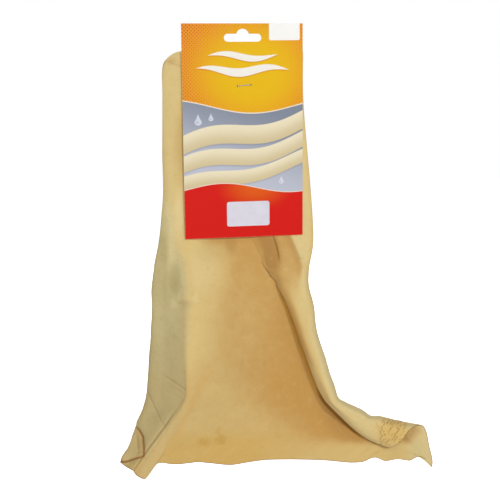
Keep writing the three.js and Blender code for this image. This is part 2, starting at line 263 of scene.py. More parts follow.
# The corner of the skin that is turned to the front at the lower left
EAR_LINE = [
    (134.6, 422), (138.5, 425), (142, 428.5), (145, 432.5), (145.8, 441), (145.4, 449), (142.5, 456),
]
EAR_LIFT = 0.38  # share by which its lower edge rises towards its corner
EAR_GAP = 1.9  # mm in front of the skin that it lies on
EAR_LEAST = 1.5  # mm that it is wide at least
EAR_BULGE = 1.5  # mm that it stands out where it begins to turn
EAR_TONE = 0.05  # of the side that it shows
EAR_PALE = 0.4  # how pale that side is

# Creases: between which fold lines they lie, half their width and their depth in mm, and where the
# photograph shows them. Depth goes backwards on the panel, so that a negative one is a ridge. The flap and
# the turned corner face the other way, and there a negative one is a groove.
EAR_CREASES = {
    "ear_fold": ("back_edge", "left_rear", 1.3, -0.45, [
        (136, 430), (137.5, 438), (138, 446), (140.5, 456)]),
    "ear_curl": ("back_edge", "left_rear", 1.0, -0.45, [
        (135, 454), (138, 452.5), (140.5, 452), (144, 450)]),
}
CREASES = {
    "tent_fold": ("left_front", "strip", 1.3, 0.55, [
        (187, 395), (181, 402), (166, 425), (150, 446.5), (139, 463), (122, 488)]),
    "upper_corner": ("left_bend", "crest", 2.6, 0.4, [
        (164, 58), (170, 62), (179, 66), (188, 68)]),
    "side_upper": ("left_bend", "crest", 1.1, 0.5, [
        (156, 370), (166, 376.5), (174, 381.5), (182, 387), (192, 395)]),
    "side_lower": ("left_bend", "crest", 1.1, 0.5, [
        (144, 380), (150, 396), (155, 407), (160, 417), (167, 429), (172, 437)]),
    "side_middle": ("left_front", "crest", 0.9, 0.35, [
        (160, 380), (170, 386), (180, 391), (190, 398)]),
    "side_short": ("left_front", "crest", 1.0, 0.35, [
        (164, 389), (172, 393.5), (180, 398), (188, 402)]),
    "flap_long": ("flap_middle", "flap_edge", 1.0, -0.8, [
        (270, 215), (273.3, 236), (277, 247), (278.7, 256), (279.8, 268)]),
    "patch_side": ("right_front", "flap_edge", 1.3, -0.4, [
        (371, 412), (376, 422), (379.5, 432), (380.5, 441), (381, 452)]),
    "flap_side": ("right_bend", "flap_crease", 1.2, 0.5, [
        (288, 228), (290.5, 236), (294.8, 247), (298.5, 256), (303, 267)]),
}
FULL_DEPTH = (0.3, 0.75)  # shares of a crease's length between which it is as deep as it gets
# The deeper a crease is, the darker the painted shade laid along it
DARK_DEPTH = 0.8  # mm of depth at which a crease is as dark as it gets

# Hollows and swellings of the side of the tent and the flap, as the creases above
HOLLOWS = {
    "upper_hollow": ("left_bend", "crest_right", 4.5, 0.5, [(172, 246), (177, 262), (182, 282)]),
    "dimple_swelling": ("left_front", "crest", 4, -0.8, [(168, 296), (178, 296), (190, 295)]),
    "dimple": ("left_front", "crest_right", 2.8, 1.3, [
        (170, 304.5), (178, 304.5), (186, 303.5), (196, 301)]),
    "side_swelling": ("left_bend", "ridge_side", 5, -0.3, [(166, 262), (168, 300), (166, 330)]),
    "flap_soft": ("right_bend", "flap_crease", 2.5, 0.9, [
        (289, 228), (294.3, 249.5), (301.4, 264), (306, 290)]),
    "flap_lower": ("right_bend", "flap_crease", 4, 0.6, [
        (296, 300), (306, 325), (311, 345), (322, 380)]),
}

# Places where all layers of the skin stand a little aside: pixels, reach, and pixels right and down
NUDGES = {
    "ear_side": ((129, 441), 16, (3, 0.5)),
    "ear_top": ((133.5, 429), 9, (1.9, 0)),
    "ear_low": ((125, 450), 9, (1.4, 0)),
    "left_by_card": ((160, 190), 40, (1.4, 0)),
    "left_waist": ((156, 256), 34, (-1.4, 0)),
    "left_thigh": ((152.5, 289), 22, (-1.7, 0)),
    "right_waist": ((310, 284), 16, (-1, 0)),
    "flap_bend_in": ((264.5, 266), 8, (-1.4, 0)),
    "flap_bend_out": ((275.5, 281), 8, (1.8, 0)),
    "right_bulge": ((313, 306), 14, (0.9, 0)),
    "right_thigh": ((319, 335), 26, (-1.7, 0)),
    "right_knee": ((335, 386), 16, (1.5, 0)),
    "curl_side": ((430, 446), 16, (-1.2, 0)),
    "roll_notch": ((371, 412), 11, (0, 3)),
}

# Unevenness of the limp skin: mm high and waves to the metre, and metres below the card where it sets in
UNEVENNESS = [(0.7, 22), (0.22, 75)]
UNEVEN_BELOW = (0.01, 0.09)

# The rough, crushed patch on the end of the flap: its middle and its half sizes in pixels
ROUGH_PATCH = (393, 432)
ROUGH_SIZE = (23, 21)
CRUMPLES = [(1, 6), (0.4, 3)]  # mm deep and pixels wide
CRUMPLE_RISE = 0.25  # mm that the patch is lifted between them
WRINKLES = [(52, 0.4), (112, 0.5), (-8, 0.53)]  # degrees of its short wrinkles, and how much of it has none
STROKES = (140, 330, 0)  # wrinkles to the metre, along and across them
GAP_GRAIN = 170  # specks to the metre of the noise that leaves wrinkles out

# Marks of the skin that only the side towards the front has
FRONT_MARKS = ("golden", "stain", "painted_warm_light", "deep", "pale", "rough", "creased")

# Lines in the picture: where the panel turns from cream to ochre, and the fold along the right of the
# strip below the crest
OCHRE_START = [
    (227, 236), (223, 262), (217, 300), (214, 350), (202, 385), (184, 418), (164, 455), (156, 480),
]
STRIP_FOLD = [(221, 345), (203, 382), (193, 401), (184.5, 420), (176, 435), (169, 447), (158.6, 463)]

# Where the panel starts to pale towards its hem: a place on that line, its slope and its ends, and the
# pixels down from it over which the skin pales
PALE_PLACE = (215, 340)
PALE_SLOPE = 0.7
PALE_ENDS = (335, 425)
PALE_REACH = 60

# Pixels down, and pixels across, between which a shade of the skin comes or goes
LEVELS = {
    "card_foot": (238, 252), "flap_top": (240, 256), "rim_narrows": (246, 268), "upper_panel": (250, 310),
    "thin_edge": (252, 274), "long_blurs": (254, 280), "brown_ends": (254, 300), "flap_lifts": (256, 276),
    "side_shade": (256, 280), "side_grey": (256, 290), "side_blurs": (258, 290), "flap_pales": (262, 310),
    "edge_shade_comes": (266, 290), "flap_is_free": (276, 300), "rim_shade_comes": (280, 310), "flap_thigh": (290, 330),
    "tent_foot": (320, 400), "edge_pales": (330, 380), "strip_warms": (340, 390), "rim_pales": (350, 385),
    "turn_narrows": (360, 400), "contact_shadow": (376, 402), "strip_cools": (400, 430), "golden": (424, 446),
    "hem_pales": (434, 450), "hem_clears": (455, 466),
}
SIDES = {
    "ear_golden": (133, 140), "card_left": (194, 212), "golden_fades": (225, 320), "hem_right": (280, 345),
    "contact_fades": (348, 374), "roll_end": (380, 405),
}

# Pairs of fold lines with a place of the skin between them
PANEL = ("crest", "roll_tip")
FLAP = ("right_front", "flap_edge")
STRIP = ("crest_right", "strip")
TENT_SIDE = ("left_front", "crest_right")
BESIDE_CARD = ("left_bend", "crest_right")
CURL = ("roll_floor", "right_bend")

# Shades of the skin: the mark that they add to, how much, the fold lines that they lie between, and their
# limits. A spot has its middle and its half sizes in pixels, and where that is unusual the share of it that
# is full and how square it is. Other limits are spans over which a shade comes, or goes where the larger
# number is first: pixels across, down, from the flap's edge (edge_gap) and from STRIP_FOLD (fold_gap).
DIMPLE = ("spot", (184, 303), (9, 4.5))
SHADES = {
    "stain_left": ("stain", 1, PANEL, ("spot", (204, 441.5), (8, 6.5), 0.3, 4)),
    "stain_right": ("stain", 1, PANEL, ("spot", (221, 440.5), (10, 6), 0.3, 4)),
    "stain_top": ("stain", 1, PANEL, ("spot", (219, 432), (3.5, 9), 0.3, 4)),
    # Painted shade: below and beside the card, in the upper corner and the dimple, at the strip's foot,
    # under the roll and inside the curl
    "below_card": ("deep", 0.6, PANEL, ("spot", (230, 243), (11, 17))),
    "round_card": ("deep", 0.27, PANEL, ("spot", (216, 245), (27, 25))),
    "along_card": ("deep", 0.35, BESIDE_CARD, ("spot", (184, 145), (14, 50))),
    "upper_corner": ("deep", 0.35, BESIDE_CARD, ("spot", (171, 61), (9, 5))),
    "dimple_shade": ("deep", 0.3, TENT_SIDE, DIMPLE),
    "strip_foot": ("deep", 0.18, STRIP, ("down", 405, 430)),
    "roll_shadow": ("deep", 0.75, PANEL, ("edge_gap", 26, 3), ("across", 310, 336), ("down", 447, 438)),
    "curl_top": ("deep", 0.75, CURL, ("spot", (413, 430), (13, 8), 0)),
    "curl_middle": ("deep", 0.75, CURL, ("spot", (409.5, 434), (11, 9), 0)),
    "curl_foot": ("deep", 0.75, CURL, ("spot", (406, 438.5), (10, 8), 0)),
    # Painted highlights: on the waist below the card, the crest, the ridge beside the card, the flap's
    # outer fold and the roll
    "waist_light": ("pale", 0.35, ("crest_right", "panel_left"), ("spot", (201, 268), (24, 38))),
    "crest_light": ("pale", 0.6, STRIP, ("spot", (194, 298), (8, 8))),
    "ridge_light": ("pale", 0.8, BESIDE_CARD, ("spot", (179, 214), (8, 34))),
    "outer_fold": ("pale", 0.9, ("right_bend", "right_front", 1), ("down", 290, 330)),
    "roll_light": ("pale", 0.45, ("right_bend", "flap_crease"), ("down", 392, 410)),
    # Painted warm light, thrown back within the folds
    "flap_glow": ("painted_warm_light", 1, PANEL, ("edge_gap", 5, 2.5), ("down", 282, 310), ("across", 370, 345)),
    "strip_glow": ("painted_warm_light", 0.25, PANEL, ("fold_gap", 5, 0), ("down", 345, 375)),
    # Grey, mostly painted shade: the rim beside the card, the tent's side, its hollow and dimple, the strip
    # below the crest and inside the curl
    "card_rim": ("grey", 0.7, BESIDE_CARD, ("spot", (164, 229), (15, 40))),
    "side_shade": ("grey", 0.6, BESIDE_CARD, ("spot", (177.5, 277), (11, 34))),
    "side_hollow": ("grey", 0.35, ("left_bend", "left_front", 1.2), ("down", 235, 262), ("down", 325, 285)),
    "dimple_grey": ("grey", 0.4, TENT_SIDE, DIMPLE),
    "strip_grey": ("grey", 0.35, STRIP, ("down", 402, 415)),
    "curl_grey": ("grey", 0.5, ("right_rear", "right_bend"), ("down", 430, 446), ("across", 400, 416)),
}


def through(points, places):
    """Points at places, counted in points from the first, on smooth curves through them."""
    ends = [2 * points[0] - points[1], 2 * points[-1] - points[-2]]
    knots = np.concatenate([ends[0][None], points, ends[1][None]])
    gaps = np.linalg.norm(np.diff(knots, axis=0), axis=-1, keepdims=True) ** 0.5
    gaps = np.maximum(gaps, 1e-5)
    found = []
    for place in places:
        i = min(int(place), len(points) - 2)
        along = place - i
        before, start, end, after = knots[i:i + 4]
        near, here, far = gaps[i:i + 3]
        leave = ((start - before) / near - (end - before) / (near + here) + (end - start) / here) * here
        arrive = ((end - start) / here - (after - start) / (here + far) + (after - end) / far) * here
        square = 3 * (end - start) - 2 * leave - arrive
        cube = 2 * (start - end) + leave + arrive
        found.append(start + leave * along + square * along**2 + cube * along**3)
    return np.array(found)


def steps(counts):
    """Places counted in points, with so many even steps between one point and the next."""
    spans = [i + np.arange(count) / count for i, count in enumerate(counts)]
    return np.concatenate(spans + [[len(counts)]])


def rise(value, start, end):
    """0 before start, 1 after end, smooth between. It falls where the larger number comes first."""
    share = np.clip((value - start) / (end - start), 0, 1)
    return share * share * (3 - 2 * share)


def normals_of(surface):
    """Unit normals of rows of points. They point backwards on the panel."""
    down = np.gradient(surface, axis=0)
    along = np.gradient(surface, axis=1)
    normal = np.cross(along, down)
    return normal / np.maximum(np.linalg.norm(normal, axis=-1, keepdims=True), 1e-12)


def running(surface, axis, start):
    """Lengths along rows (axis 1) or columns (axis 0) of points, from the row or column numbered start."""
    step = np.linalg.norm(np.diff(surface, axis=axis), axis=-1)
    lead = np.zeros_like(np.take(step, [0], axis))
    length = np.concatenate([lead, np.cumsum(step, axis)], axis)
    return length - np.take(length, [start], axis)


strip_columns = [FOLD_LINES[name]["columns"] for name in LINE_NAMES[:-1]]
strip_rows = list(ROWS_TO.values())
column_places = steps(strip_columns)
row_places = steps(strip_rows)
column_of = dict(zip(LINE_NAMES, np.cumsum([0] + strip_columns)))
row_of = dict(zip(ROWS_TO, np.cumsum(strip_rows)))
ear_rows = (row_of["roll"] - 4, row_of["roll"] + 2)  # over which the corner turns
settled_rows = (row_of["hinge"] + 4, row_of["waist"])  # in which the flap's edge is laid on the panel


def upper_edge(across):
    """Height of the skin's upper edge, which falls away in a round corner at the left."""
    into = np.clip(fold_left + CORNER_ROUND - across, 0, CORNER_ROUND)
    slope = CORNER_SLOPE * max(card_low.x / MM - across, 0)
    return gather_high.z / MM - slope - CORNER_ROUND + math.sqrt(CORNER_ROUND**2 - into**2)


def hung_skin():
    """The middle of the skin's thickness as rows of points, smooth through its fold lines."""
    lines = []
    for line in FOLD_LINES.values():
        across, layer = line["top"]
        behind = front_layer + layer * LAYER_STEP
        held = [(across, behind, upper_edge(across)), (across, behind, hinge[2] / MM)]
        lines.append([np.array(place) * MM for place in held] + [seen(*place) for place in line["below"]])
    stations = np.array(lines).swapaxes(0, 1)
    rows = through(stations, row_places)
    skin = through(rows.swapaxes(0, 1), column_places).swapaxes(0, 1)
    behind_card = skin[..., 2] > card_low.z
    skin[..., 1] = np.where(behind_card, np.maximum(skin[..., 1], front_layer * MM), skin[..., 1])
    return skin


def turn_ear(skin):
    """Turns the skin's lower left corner round its left fold, to lie on the front."""
    bend = column_of["left_bend"]
    by_fold = slice(bend, column_of["strip"] + 1)
    panel = skin[:, by_fold]
    normal = normals_of(skin)[:, by_fold]
    ear_across, ear_down = np.array(EAR_LINE).T
    shares = 1 - column_places[:bend] / LINE_NAMES.index("left_bend")
    laid = []
    for row, out, shown, length in zip(panel, normal, pixels_of(panel), running(panel, 1, 0)):
        edge = np.interp(shown[0, 1], ear_down, ear_across)
        away = shares * max(np.interp(edge, shown[:, 0], length), EAR_LEAST * MM)
        lift = EAR_GAP * MM * np.sin(np.minimum(away / (EAR_GAP * MM), 1) * math.pi / 2)
        laid.append(np.stack([
            np.interp(away, length, row[:, k]) - lift * np.interp(away, length, out[:, k])
            for k in range(3)], -1))
    laid = np.array(laid)
    columns = np.arange(bend)
    for j in range(ear_rows[0], len(skin)):
        turned = rise(j, *ear_rows)
        down = max(j - row_of["roll"], 0)
        lower = min(j, row_of["roll"]) + down * (1 - EAR_LIFT * shares)
        above = lower.astype(int)
        below = np.minimum(above + 1, row_of["hem"])
        part = (lower - above)[:, None]
        ear = laid[above, columns] * (1 - part) + laid[below, columns] * part
        skin[j, :bend] = skin[j, :bend] * (1 - turned) + ear * turned
        skin[j, :bend, 0] -= EAR_BULGE * MM * 4 * turned * (1 - turned) * shares


def trim_hem(skin):
    """Brings the hem of the panel to its outline in the photograph."""
    panel = skin[:, column_of["left_bend"]:column_of["roll_tip"] + 1]
    hem_across, hem_down = pixels_of(panel[-1]).T
    across, down = through(np.array(HEM), np.linspace(0, len(HEM) - 1, HEM_STEPS * len(HEM))).T
    short = np.interp(hem_across, across, down) - hem_down
    px = np.linalg.norm(panel[-1] - CAMERA_PLACE, axis=1) / focal_px
    above = -running(panel, 0, -1) / MM
    ease = np.clip(1 - above / HEM_EASE, 0, 1) ** 2
    panel += ease[..., None] * (short * px)[:, None] * camera_down


def nudge(skin):
    """Moves the skin aside in the picture at named places."""
    shown = pixels_of(skin)
    px = np.linalg.norm(skin - CAMERA_PLACE, axis=-1) / focal_px
    for place, reach, (right, lower) in NUDGES.values():
        share = rise(np.linalg.norm(shown - place, axis=-1), reach, 0)
        skin += (share * px)[..., None] * (right * camera_right + lower * camera_down)


def settle_flap(skin):
    """Lays the upper end of the flap's cut edge on the panel behind it."""
    panel = slice(column_of["panel_left"], column_of["right_rear"])
    flap = skin[:, column_of["flap_crease"]:]
    beneath = skin[row_of["hinge"]:, panel].reshape(-1, 3)
    beneath_normal = normals_of(skin)[row_of["hinge"]:, panel].reshape(-1, 3)
    beneath_px = pixels_of(beneath)
    along = np.linspace(0, 1, flap.shape[1])
    for row in flap[slice(*settled_rows)]:
        shown = pixels_of(row[-1])
        nearest = np.argmin(((beneath_px - shown) ** 2).sum(-1))
        normal = beneath_normal[nearest]
        gap = (beneath[nearest] - row[-1]) @ normal
        wanted = SETTLED_GAP + FLAP_LIFT * rise(shown[1], *LEVELS["flap_lifts"])
        share = 1 - rise(shown[1], *LEVELS["flap_is_free"])
        row += (along ** 2 * share * (gap - wanted * MM))[:, None] * normal


def away_from(points, line):
    """Distance of pixels from a line through pixels, and how far along the line, from 0 to 1, they are."""
    line = np.array(line, float)
    lengths = np.concatenate([[0], np.cumsum(np.linalg.norm(np.diff(line, axis=0), axis=1))])
    nearest = np.full(points.shape[:-1], np.inf)
    along = np.zeros(points.shape[:-1])
    for a, b, start in zip(line, line[1:], lengths):
        step = b - a
        share = np.clip((points - a) @ step / (step @ step), 0, 1)
        gap = np.linalg.norm(points - a - share[..., None] * step, axis=-1)
        closer = gap < nearest
        nearest = np.where(closer, gap, nearest)
        along = np.where(closer, (start + share * np.linalg.norm(step)) / lengths[-1], along)
    return nearest, along


def press(skin, dents):
    """Presses creases or hollows into the skin, and tells how deep in one each point is, from 0 to 1."""
    normal = normals_of(skin)
    shown = pixels_of(skin)
    pressed = np.zeros(skin.shape[:2])
    for left, right, half_width, depth, line in dents.values():
        columns = slice(column_of[left], column_of[right] + 1)
        gap, along = away_from(shown[:, columns], line)
        fade = rise(along, 0, FULL_DEPTH[0]) * rise(along, 1, FULL_DEPTH[1])
        groove = np.exp(-(gap * PX / half_width) ** 2) * fade
        skin[:, columns] += normal[:, columns] * (depth * MM * groove)[..., None]
        pressed[:, columns] = np.maximum(pressed[:, columns], groove * min(abs(depth) / DARK_DEPTH, 1))
    return pressed


def laid_flat(skin):
    """Where every point of the skin would lie if it were laid out flat."""
    across = running(skin, 1, column_of["panel_middle"])
    left, right = column_of["left_bend"], column_of["right_bend"]
    across[:, :left] = running(skin, 1, left)[:, :left] - LAYER_APART
    across[:, right:] = running(skin, 1, right)[:, right:] + LAYER_APART
    down = running(skin, 0, row_of["hinge"])
    return np.stack([across, down, np.zeros_like(down)], -1)


def wave(skin, flat):
    """Soft unevenness of a limp skin, none where its layers lie against each other."""
    heave = rise(card_low.z - skin[..., 2], *UNEVEN_BELOW)
    for j, i in np.ndindex(*heave.shape):
        at = Vector(flat[j, i])
        heave[j, i] *= sum(height * noise.noise(at * waves) for height, waves in UNEVENNESS)
    skin += normals_of(skin) * (heave * MM)[..., None]


def spot(shown, place, size, core=0.2, square=2):
    """1 within an ellipse in the picture, or a squarer shape, fading to 0 at its edge."""
    away = (abs((shown - place) / np.array(size)) ** square).sum(-1) ** (1 / square)
    return rise(away, 1, core)


def crush_patch(skin, flat):
    """Crushes the rough patch, and tells how rough the skin is at every point, from 0 to 1."""
    place = pixels_of(skin)
    rough = spot(place, ROUGH_PATCH, ROUGH_SIZE, 0.3, 3)
    rough[:, :column_of["right_bend"]] = 0
    heave = np.zeros(skin.shape[:2])
    for j, i in np.argwhere(rough > 0):
        at = Vector((*place[j, i], 0))
        flat[j, i, :2] = place[j, i] * PX * MM
        sunk = sum(depth * abs(noise.noise(at / width)) for depth, width in CRUMPLES)
        heave[j, i] = rough[j, i] * (CRUMPLE_RISE - sunk)
    skin += normals_of(skin) * (heave * MM)[..., None]
    return rough


def chamois_skin():
    """The skin as rows of points, and for each where it lies flat, how creased and how rough it is."""
    skin = hung_skin()
    trim_hem(skin)
    nudge(skin)
    flat = laid_flat(skin)
    press(skin, HOLLOWS)
    wave(skin, flat)
    settle_flap(skin)
    creased = press(skin, CREASES)
    rough = crush_patch(skin, flat)
    turn_ear(skin)
    creased = np.maximum(creased, press(skin, EAR_CREASES))
    return skin, flat, creased, rough


def over_lines(first, last, ease=0.8):
    """1 from one fold line to another, fading beyond them over a share of the way to the next line."""
    start, end = LINE_NAMES.index(first), LINE_NAMES.index(last)
    return rise(column_places, start - ease, start) * rise(column_places, end + ease, end)


def tones(skin):
    """The skin's shades at every point: its tone, 0 pale cream to 1 ochre, and its marks."""
    shown = pixels_of(skin)
    across, down = np.moveaxis(shown, -1, 0)
    below_card = card_low.z - skin[..., 2]
    flap_rim = shown[row_of["hinge"]::6, -1]  # every sixth point of the flap's edge
    edge_gap = away_from(shown, flap_rim)[0]
    fold_gap = away_from(shown, STRIP_FOLD)[0]
    measures = {"across": across, "down": down, "edge_gap": edge_gap, "fold_gap": fold_gap}
    on_panel = over_lines(*PANEL)
    on_flap = over_lines(*FLAP)
    tone, grey = [
        np.interp(column_places, range(len(LINE_NAMES)), [line[key] for line in FOLD_LINES.values()])
        for key in ("tone", "grey")]

    def below(level):
        return rise(down, *LEVELS[level])

    def above(level):
        return 1 - below(level)

    def right_of(side):
        return rise(across, *SIDES[side])

    def left_of(line):
        line_across, line_down = np.array(line).T
        return np.interp(down, line_down, line_across) - across

    # The panel turns from cream at the crest to ochre by the flap, and paler and golden towards the hem
    beyond = -left_of(OCHRE_START)
    soft = 18 - 8 * below("turn_narrows")
    turned = rise(beyond, -soft, soft)
    pale_start = np.clip(PALE_PLACE[1] + PALE_SLOPE * (across - PALE_PLACE[0]), *PALE_ENDS)
    ochre = 0.55 * turned + 0.38 * rise(beyond, 20, 100)
    ochre *= (1 - 0.55 * rise(down, pale_start, pale_start + PALE_REACH)) * (1 - 0.6 * right_of("roll_end"))
    ochre *= 1 - (0.35 + 0.4 * right_of("hem_right")) * below("hem_pales")
    # Painted shade in the recess at the top of the panel
    ochre += 0.18 * above("upper_panel") * rise(beyond, 0, 18)
    ochre += (1 - turned) * (0.35 * below("strip_warms") - 0.1 * below("strip_cools"))
    # Painted shadow below the card's lower edge
    ochre += 0.6 * above("card_foot") * right_of("card_left") * (1 - 0.8 * rise(beyond, -10, 20))
    tone = tone * (1 - on_panel) + ochre * on_panel
    golden = 0.9 * below("golden") * rise(beyond, -8, 8) * (1.3 - right_of("golden_fades"))
    golden *= over_lines("crest", "right_rear")

    # Painted shade of facets on the flap's upper end: brown left of its long crease, and ochre between that
    # and its side crease
    left_of_long = left_of(CREASES["flap_long"][-1])
    left_of_side = left_of(CREASES["flap_side"][-1])
    by_side = rise(left_of_side, -1.5, 1.5 + 6 * below("side_blurs"))
    flap = by_side * (0.7 + 0.2 * above("flap_top")) * above("flap_pales")
    # Painted shade along the flap's edge, where it turns back towards the panel
    flap += 0.25 * below("edge_shade_comes") * above("edge_pales") * over_lines("flap_crease", "flap_edge")
    flap += 0.5 * rise(edge_gap, 9, 3) * below("rim_shade_comes") * above("rim_pales")
    tone = tone * (1 - on_flap) + flap * on_flap
    brown = rise(left_of_long, -6, 1.5 + 8 * below("long_blurs")) * above("brown_ends")
    brown *= rise(edge_gap, 0, 9 - 7 * below("rim_narrows"))
    # Painted shade to the left of the side crease
    side_crease_shade = 0.35 * by_side * rise(left_of_side, 8, 2) * above("side_shade")

    # The side of the tent and the inside of the roll's end are dull, partly as painted shade, and the skin
    # is paler behind the card
    grey = grey * (0.45 + 0.55 * rise(below_card, -0.02, 0.03)) * (1 - 0.35 * below("tent_foot"))
    grey *= 1 - 0.7 * below("hem_clears")
    # Grey painted shade between the flap's long and side creases
    grey += 0.2 * by_side * rise(left_of_long, 3, -3) * above("side_grey") * on_flap
    tone *= 0.6 + 0.4 * rise(below_card, -0.04, -0.005)

    # Brown and pale places of the flap are painted shade and a painted highlight on its facets, and the
    # dark line where its edge meets the panel is a painted contact shadow
    deep = np.maximum(brown, side_crease_shade) * on_flap
    pale = 0.5 * (1 - by_side) * above("flap_thigh") * on_flap
    contact_shadow = rise(edge_gap, 5, 2.2) * below("contact_shadow") * (1 - 0.9 * right_of("contact_fades")) * on_panel
    marks = {"tone": tone, "grey": grey, "golden": golden, "deep": deep, "pale": pale, "contact_shadow": contact_shadow}

    # Grey adds up, and of any other mark the strongest shade counts
    for mark, strength, lines, *limits in SHADES.values():
        shade = strength * over_lines(*lines)
        for kind, *span in limits:
            shade = shade * (spot(shown, *span) if kind == "spot" else rise(measures[kind], *span))
        known = marks.get(mark, 0)
        marks[mark] = known + shade if mark == "grey" else np.maximum(known, shade)
    return marks


def placed(name, data):
    """A new object in the scene."""
    thing = bpy.data.objects.new(name, data)
    bpy.context.scene.collection.objects.link(thing)
    return thing


def keep_mark(mesh, mark, values, loop):
    """Writes a mark of the skin on its points: one side, the other side and the rim round the loop."""
    rows, columns = values.shape[:2]
    column = np.arange(columns)
    over_front = (column >= column_of["right_bend"]) | (column < column_of["left_bend"])
    turned = np.tile(over_front, rows)[:, None]
    every = values.reshape(rows * columns, -1)
    back, front = every, every
    if mark in FRONT_MARKS:
        back, front = every * turned, every * ~turned
    all_values = np.concatenate([back, front, every[loop]])
    kind, field = ("FLOAT", "value") if all_values.shape[1] == 1 else ("FLOAT_VECTOR", "vector")
    data = mesh.attributes.new(mark, kind, "POINT").data
    data.foreach_set(field, all_values.astype(np.float32).ravel())


def thick_mesh(name, skin, share, marks):
    """A closed mesh round rows of points, with a share of the leather's thickness and a round rim."""
    rows, columns = skin.shape[:2]
    number = np.arange(rows * columns).reshape(rows, columns)
    far = rows * columns
    corners = (number[:-1, :-1], number[:-1, 1:], number[1:, 1:], number[1:, :-1])
    a, b, c, d = [corner.ravel() for corner in corners]
    loop = np.concatenate([number[0, :-1], number[:-1, -1], number[-1, :0:-1], number[:0:-1, 0]])
    after = np.roll(loop, -1)
    rim = 2 * far + np.arange(len(loop))
    rim_after = np.roll(rim, -1)
    quads = [
        (a, b, c, d), (far + a, far + d, far + c, far + b),
        (after, loop, rim, rim_after), (rim_after, rim, far + loop, far + after),
    ]
    middle = skin.reshape(-1, 3)
    normal = normals_of(skin).reshape(-1, 3)
    thickness = share.reshape(-1, 1) * MM
    edge = middle[loop]
    outward = np.cross(np.roll(edge, -1, 0) - np.roll(edge, 1, 0), normal[loop])
    outward /= np.linalg.norm(outward, axis=1, keepdims=True)
    half = normal * thickness * LEATHER / 2
    points = [middle + half, middle - half, edge + outward * thickness[loop] * ROUND_RIM / EDGE_SHARE]
    mesh = bpy.data.meshes.new(name)
    faces = np.concatenate([np.stack(quad, 1) for quad in quads])
    mesh.from_pydata(np.concatenate(points).tolist(), [], faces.tolist())
    for mark, values in marks.items():
        keep_mark(mesh, mark, values, loop)
    mesh.shade_smooth()
    return placed(name, mesh)


def srgb(red, green, blue):
    """A colour given as it looks on a screen, from 0 to 255, as the shader wants it."""
    return (*Color((red / 255, green / 255, blue / 255)).from_srgb_to_scene_linear(), 1)


def new_node(tree, kind, settings, values):
    """A node with its settings made first, and then its sockets linked to others or set to values."""
    node = tree.nodes.new(kind)
    for name, setting in (settings or {}).items():
        setattr(node, name, setting)
    for key, value in (values or {}).items():
        if isinstance(value, bpy.types.NodeSocket):
            tree.links.new(value, node.inputs[key])
        else:
            node.inputs[key].default_value = value
    return node


def operator(operation, reflected=False):
    """A method that joins a tint and another tint or number by a Math node."""
    def join(self, other):
        pair = (other, self) if reflected else (self, other)
        return self.maths(operation, *pair)
    return join


class Tint:
    """A socket in a material's nodes. Arithmetic on it adds Math nodes, and add() any other node."""

    def __init__(self, tree, socket=None):
        self.tree = tree
        self.socket = socket

    def add(self, kind, settings=None, values=None, output=0):
        plain = {key: getattr(value, "socket", value) for key, value in (values or {}).items()}
        return Tint(self.tree, new_node(self.tree, "ShaderNode" + kind, settings, plain).outputs[output])

    def maths(self, operation, *values):
        return self.add("Math", {"operation": operation}, dict(enumerate(values)))

    __add__ = operator("ADD")
    __radd__ = operator("ADD", reflected=True)
    __sub__ = operator("SUBTRACT")
    __rsub__ = operator("SUBTRACT", reflected=True)
    __mul__ = operator("MULTIPLY")
    __rmul__ = operator("MULTIPLY", reflected=True)
    __truediv__ = operator("DIVIDE")
    __pow__ = operator("POWER")
    most = operator("MAXIMUM")
    least = operator("MINIMUM")

    def __abs__(self):
        return self.maths("ABSOLUTE", self)

    def rise(self, start, end):
        """0 before start, 1 after end, smooth between."""
        values = {"Value": self, "From Min": start, "From Max": end}
        return self.add("MapRange", {"interpolation_type": "SMOOTHSTEP"}, values)

    def over(self, under, colour):
        """The colour over another where this tint is 1. A tuple is a colour as it looks on a screen."""
        under, colour = [srgb(*shade) if isinstance(shade, tuple) else shade for shade in (under, colour)]
        return self.add("Mix", {"data_type": "RGBA"}, {0: self, 6: under, 7: colour}, 2)

    def stretched(self, *scales):
        """These coordinates, each multiplied by its own scale."""
        return self.add("VectorMath", {"operation": "MULTIPLY"}, {0: self, 1: scales})

    def grain(self, scale, detail=2, roughness=0.5):
        """Even noise from 0 to 1 on these coordinates, so many specks to the metre."""
        values = {"Vector": self, "Scale": scale, "Detail": detail, "Roughness": roughness}
        return self.add("TexNoise", None, values, "Fac")

    def part(self, axis):
        return self.add("SeparateXYZ", None, {"Vector": self}, axis)


def new_material(name, **constants):
    """A material of one surface shader, with its even values set, and a tint to start its nodes from."""
    material = bpy.data.materials.new(name)
    material.use_nodes = True
    tree = material.node_tree
    surface = tree.nodes["Principled BSDF"]
    for socket, value in constants.items():
        surface.inputs[socket.replace("_", " ")].default_value = value
    return material, surface, Tint(tree)


def link(tint, surface, socket):
    tint.tree.links.new(tint.socket, surface.inputs[socket])


def painted(colour, layers):
    """A colour with others laid over it in turn, each where its tint is 1."""
    for tint, shade in layers:
        colour = tint.over(colour, shade)
    return colour


def dress(surface, colour, roughness, heights=None, strength=0):
    """Gives a surface shader its colour and roughness, and bumps of heights in metres."""
    link(colour, surface, "Base Color")
    link(roughness, surface, "Roughness")
    if heights:
        bump = {"Strength": strength, "Distance": 1.0, "Height": heights}
        link(heights.add("Bump", None, bump), surface, "Normal")


def from_rim(place, low, high):
    """How many mm a place on a card lies inside its outline, a box seen from the front."""
    middle, half = (low + high) / 2, (high - low) / 2
    side = half.x - abs(place.part("X") - middle.x)
    end = half.z - abs(place.part("Z") - middle.z)
    return side.least(end) / MM


